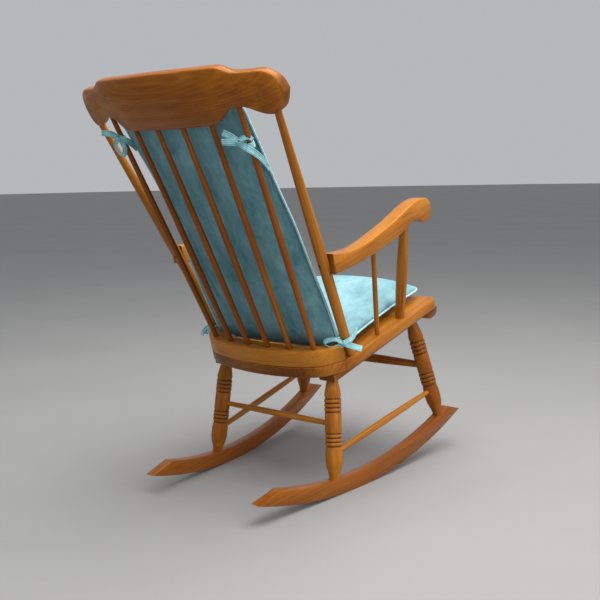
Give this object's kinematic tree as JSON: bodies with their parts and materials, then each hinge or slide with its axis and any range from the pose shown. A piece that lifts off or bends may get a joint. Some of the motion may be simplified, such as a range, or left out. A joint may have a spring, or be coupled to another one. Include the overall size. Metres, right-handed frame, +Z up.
{
  "type": "rocking chair",
  "caption": "High-backed wooden rocking chair: turned legs on curved rockers, a stick back under a shaped crest, scrolled arms, and tied-on seat and back cushions.",
  "frame": {"origin": "on the floor under the middle of the chair's bounding box; the rockers' level flats lie in the plane Z = 0", "axes": "+Z is up, -Y is the way a sitter faces, +X is the sitter's left"},
  "size_m": [0.6412, 0.9686, 1.0619],
  "materials": {
    "sawn_wood": "satin",
    "turned_wood": "satin",
    "screw": "matte",
    "cushion_cloth": "matte",
    "tie_ribbon": "matte"
  },
  "bodies": {
    "root": {"rocker_right": "sawn_wood", "rocker_left": "sawn_wood", "seat_plank": "sawn_wood", "seat_front_roll": "sawn_wood", "seat_back_riser": "sawn_wood", "crest_rail": "sawn_wood", "arm_right": "sawn_wood", "arm_left": "sawn_wood", "seat_cleat_right": "sawn_wood", "seat_cleat_left": "sawn_wood", "leg_front_right": "turned_wood", "leg_front_left": "turned_wood", "leg_rear_right": "turned_wood", "leg_rear_left": "turned_wood", "stretcher_rear": "turned_wood", "stretcher_front": "turned_wood", "stretcher_side_right": "turned_wood", "stretcher_side_left": "turned_wood", "back_post_right": "turned_wood", "back_post_left": "turned_wood", "back_spindle_1": "turned_wood", "back_spindle_2": "turned_wood", "back_spindle_3": "turned_wood", "back_spindle_4": "turned_wood", "back_spindle_5": "turned_wood", "back_spindle_6": "turned_wood", "arm_stump_right": "turned_wood", "arm_stump_left": "turned_wood", "arm_spindle_right": "turned_wood", "arm_spindle_left": "turned_wood", "arm_screw_right": "screw", "arm_screw_left": "screw", "seat_cushion": "cushion_cloth", "back_cushion": "cushion_cloth", "tie_back_right": "tie_ribbon", "tie_back_left": "tie_ribbon", "tie_seat_right": "tie_ribbon", "tie_seat_left": "tie_ribbon"}
  },
  "joints": []
}
